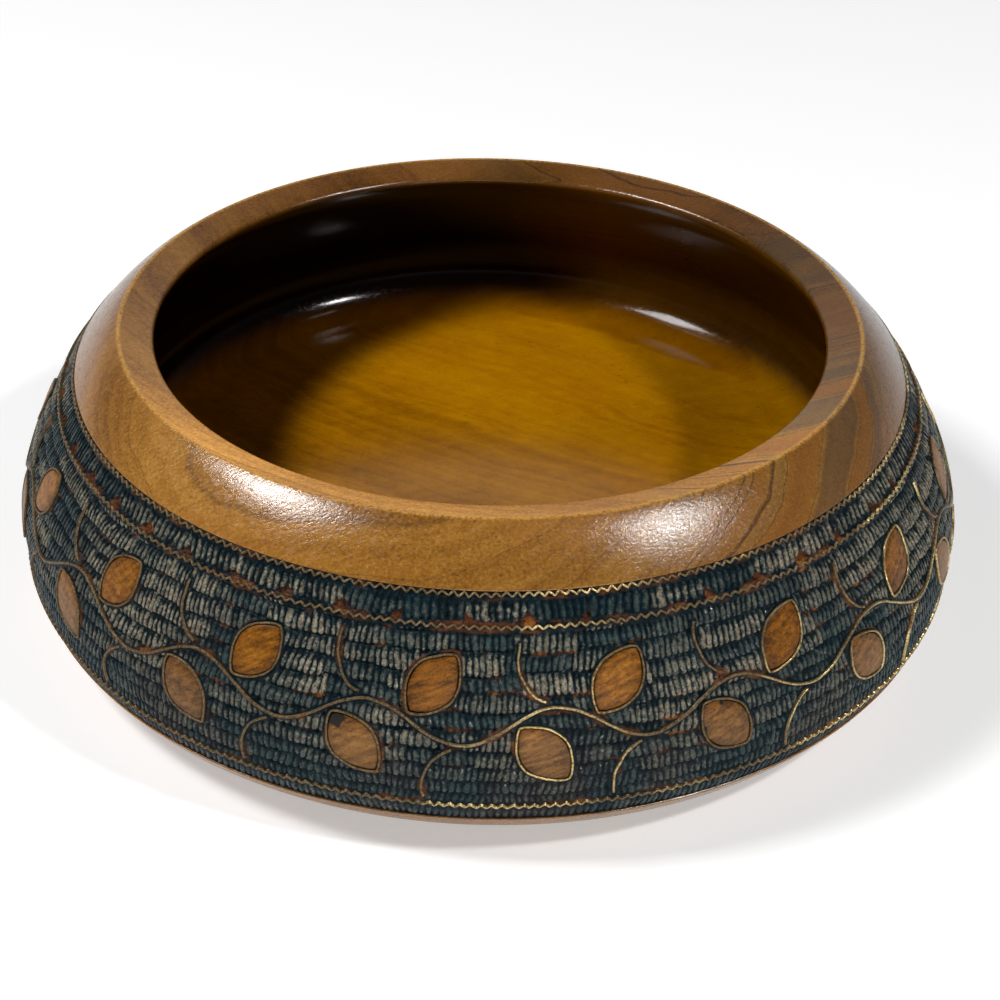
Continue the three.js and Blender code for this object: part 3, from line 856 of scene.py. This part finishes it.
def stripSection(graph, given):                   # the strip's cross section, with its corners eased
    box = graph.node("GeometryNodeCurvePrimitiveQuadrilateral", {
        "Width": given["Strip Width"], "Height": given["Top"] - given["Foot"]})
    eased = graph.node("GeometryNodeFilletCurve", {"Curve": box, "Radius": given["Edge"], "Count": 1},
                       mode="POLY")
    return graph.node("GeometryNodeSetPosition", {
        "Geometry": eased, "Offset": graph.vector(0.0, 0 - (given["Top"] + given["Foot"]) / 2, 0.0)})


def swept(graph, given, line, caps):
    line = graph.node("GeometryNodeResampleCurve", {"Curve": line, "Length": given["Step"]}, mode="LENGTH")
    line = graph.node("GeometryNodeSetCurveNormal", {"Curve": line}, mode="Z_UP")
    solid = graph.node("GeometryNodeCurveToMesh", {
        "Curve": line, "Profile Curve": stripSection(graph, given), "Fill Caps": caps})
    return endTree(graph, merged(graph, bent(graph, solid, given)), given["Finish"])


def stripTree():                                  # strip along a flat drawing, a little unsteady
    graph, given = newTree("brassStrip", *stripInputs, ("Unsteady", "Float"))
    drift = graph.noise(graph.node("GeometryNodeInputPosition"), 0.22, 1.0, output="Color")
    drift = graph.node("ShaderNodeVectorMath", {0: drift, 1: (0.5, 0.5, 0.5)}, operation="SUBTRACT")
    drift = graph.scaled(graph.stretched(drift, (1.0, 1.0, 0.12)), given["Unsteady"])
    line = graph.node("GeometryNodeMeshToCurve", {"Mesh": given["Geometry"]})
    line = graph.node("GeometryNodeSetPosition", {"Geometry": line, "Offset": drift})
    return swept(graph, given, line, True)


crimp = dict(scatter=0.3, swingLeast=0.8, swingLuck=0.4, drift=0.4, driftScale=0.35, driftHoop=30.0)


def ringTree():                                   # a crimped strip that closes round the bowl
    graph, given = newTree("crimpedRing", *stripInputs, ("Place", "Float"), ("Crimps", "Int"),
                           ("Swing", "Float"), ("Seed", "Float"))
    folds = given["Crimps"] * 2
    row = graph.node("GeometryNodeMeshLine", {"Count": folds + 2})
    index = graph.node("GeometryNodeInputIndex")
    isFold = (index > 0.5) * (index < folds + 0.5)
    across = graph.split(graph.chance(index, given["Seed"]).also("Color"))
    foldAt = index - 0.5 + (across - 0.5) * crimp["scatter"] * isFold
    shareAt = graph.maths("DIVIDE", foldAt, folds, clamp=True)
    x = (shareAt - 0.5) * (2 * math.pi * given["Drawing Radius"])
    hand = (index % 2) * 2 - 1
    turn = x / given["Drawing Radius"]
    hoop = [graph.maths(wave, turn) * crimp["driftHoop"] for wave in ("COSINE", "SINE")]
    drift = graph.noise(graph.vector(*hoop, given["Seed"]), crimp["driftScale"], 1.0) - 0.5
    swing = hand * given["Swing"] * (crimp["swingLeast"] + crimp["swingLuck"] * across.also("Y")) * isFold
    y = swing + drift * crimp["drift"] - given["Place"]
    row = graph.node("GeometryNodeSetPosition", {"Geometry": row, "Position": graph.vector(x, y, 0.0)})
    return swept(graph, given, graph.node("GeometryNodeMeshToCurve", {"Mesh": row}), False)


brassStrip, crimpedRing = stripTree(), ringTree()


def laid(name, tree, mesh, width, nodes, **more):  # a piece of strip, in place of the nodes
    values = dict({"Strip Width": strip[width], "Top": strip["top"], "Foot": strip["foot"],
                   "Edge": strip["edge"], "Step": strip["step"], "Finish": brassFinish}, **more)
    finished(smoothed(grown(name, tree, mesh, values), 60), "brass", *nodes)


numbers = [f"{k + 1:02d}" for k in range(vine["repeats"])]
vineNodes = [f"vine_length_{n}" for n in numbers]
for name, part, unsteady in (("vineStem", "vine", 0.5), ("tendrils", "tendril", 1.0)):
    lines = flatMesh(part + "Lines", drawn[part], False)
    laid(name, brassStrip, lines, part + "Width", vineNodes, Unsteady=unsteady)
for side in ("upper", "lower"):
    outlines = flatMesh("outlines", [leafPath(*f) for f in drawn[side]], True)
    outlineNodes = [f"{side}_leaf_outline_{n}" for n in numbers]
    laid(side + "LeafOutlines", brassStrip, outlines, "outlineWidth", outlineNodes, Unsteady=0.5,
         Foot=strip["outlineFoot"])

rings = dict(shoulder=dict(Place=shoulderRing, Crimps=288, Swing=0.42, Seed=1.0),
             upper=dict(Place=upperRing, Crimps=300, Swing=0.36, Seed=2.0),
             lower=dict(Place=lowerRing, Crimps=324, Swing=0.42, Seed=3.0))
for name, crimping in rings.items():
    laid(name + "RingStrip", crimpedRing, bpy.data.meshes.new("blank"), "ringWidth", [name + "_ring"],
         Step=strip["ringStep"], **crimping)
print("brass laid")

for made in helpers:
    bpy.data.objects.remove(made)

# A pale floor, soft lights from both sides, and the camera.
studio = dict(
    floorSize=6.0, ambient=0.04, floorShade=0.8, floorGlow=0.4, farGlow=0.6, glowFade=(0.3, 1.5),
    backdropTop=0.49, backdropEdge=0.08, backdropTilt=0.24, backdropEnds=0.8, endFade=(0.4, 0.75),
    backdropShare=0.38,
    lamps=dict(key=dict(way=(-0.6, -0.1, 0.79), reach=1.1, power=8.4, size=(0.26, 0.26)),
               window=dict(way=(0.575, -0.32, 0.75), reach=1.1, power=5.3, size=(0.12, 0.09)),
               low=dict(way=(0.2, -0.98, 0.0), reach=0.7, power=1.7, size=(0.6, 0.09))))
plainWhite = (1.0, 1.0, 1.0, 1.0)


def shownBright(graph):                           # rays that mirror the backdrop, and straight ones
    path = graph.node("ShaderNodeLightPath", {}, "Is Glossy Ray")
    return graph.maths("MAXIMUM", path, path.also("Is Transmission Ray")), path.also("Is Camera Ray")


world = bpy.data.worlds.new("studio")
scene.world = world
sky = cleared(world)
dim, white = (sky.node("ShaderNodeBackground", {"Color": plainWhite, "Strength": strength})
              for strength in (studio["ambient"], 1.0))
way = sky.split(sky.node("ShaderNodeTexCoord"))
rise = way.also("Z") - way.also("Y") * studio["backdropTilt"]   # it is higher behind than in front
top, edge = studio["backdropTop"], studio["backdropEdge"]
ends = sky.ramp(sky.maths("ABSOLUTE", way), *studio["endFade"]) * studio["backdropEnds"]
isBackdrop = (1 - sky.ramp(rise, top - edge, top + edge)) * (1 - ends)
polished, direct = shownBright(sky)
share = sky.maths("MAXIMUM", direct, polished * isBackdrop * studio["backdropShare"])
sky.node("ShaderNodeOutputWorld", {"Surface": sky.node("ShaderNodeMixShader", {0: share, 1: dim, 2: white})})

half = studio["floorSize"] / 2
floorMesh = meshOf(
    "floor", [(-half, -half, 0), (half, -half, 0), (half, half, 0), (-half, half, 0)], [], [(0, 1, 2, 3)])
floor = placed("floor", floorMesh)
floorFinish = bpy.data.materials.new("paleFloor")
ground = cleared(floorFinish)
matt = ground.node("ShaderNodeBsdfDiffuse", {"Color": (*[studio["floorShade"]] * 3, 1.0)})
away = ground.measured("LENGTH", ground.node("ShaderNodeTexCoord", {}, "Object"))
glow = studio["floorGlow"] + ground.ramp(away, *studio["glowFade"]) * studio["farGlow"]
glow = ground.node("ShaderNodeEmission", {"Color": plainWhite, "Strength": glow})
seen = ground.node("ShaderNodeAddShader", {0: matt, 1: glow})
ground.node("ShaderNodeOutputMaterial", {"Surface": ground.node("ShaderNodeMixShader", {
    0: ground.maths("MAXIMUM", *shownBright(ground)), 1: matt, 2: seen})})
floorMesh.materials.append(floorFinish)


def lamp(name, lit):
    light = bpy.data.lights.new(name, "AREA")
    light.shape, light.size, light.size_y, light.energy = "RECTANGLE", *lit["size"], lit["power"]
    made = placed(name, light)
    way = Vector(lit["way"]).normalized()
    made.location = middle + way * lit["reach"]
    made.rotation_euler = way.to_track_quat("Z", "Y").to_euler()


view = dict(height=45.0, distance=469.5, rise=30.283, roll=1.215, yaw=2.0, pitch=-0.5,
            lens=79.2, sensor=36.0, shift=(0.0895, -0.1374), clip=(0.01, 20.0))
middle = Vector((0, 0, view["height"])) * mm      # what the camera and the lamps turn to
for name, lit in studio["lamps"].items():
    lamp(name + "Lamp", lit)


def turnedBy(degrees, first, second):             # two directions at right angles, turned in their plane
    turn = math.radians(degrees)
    return first * math.cos(turn) + second * math.sin(turn), second * math.cos(turn) - first * math.sin(turn)


def cameraPlace(v):
    rise = math.radians(v["rise"])
    right, up = Vector((1, 0, 0)), Vector((0, math.sin(rise), math.cos(rise)))
    ahead = Vector((0, math.cos(rise), -math.sin(rise)))
    spot = middle - ahead * v["distance"] * mm
    right, up = turnedBy(v["roll"], right, up)
    right, ahead = turnedBy(v["yaw"], right, ahead)
    up, ahead = turnedBy(v["pitch"], up, ahead)
    return Matrix((right, up, -ahead)).transposed().to_4x4(), spot


camera = bpy.data.cameras.new("camera")
camera.lens, camera.sensor_width = view["lens"], view["sensor"]
camera.shift_x, camera.shift_y = view["shift"]
camera.clip_start, camera.clip_end = view["clip"]
cameraObject = placed("camera", camera)
turnedTo, cameraObject.location = cameraPlace(view)
cameraObject.rotation_euler = turnedTo.to_euler()
scene.camera = cameraObject
scene.view_settings.view_transform = "Standard"
print("studio set")
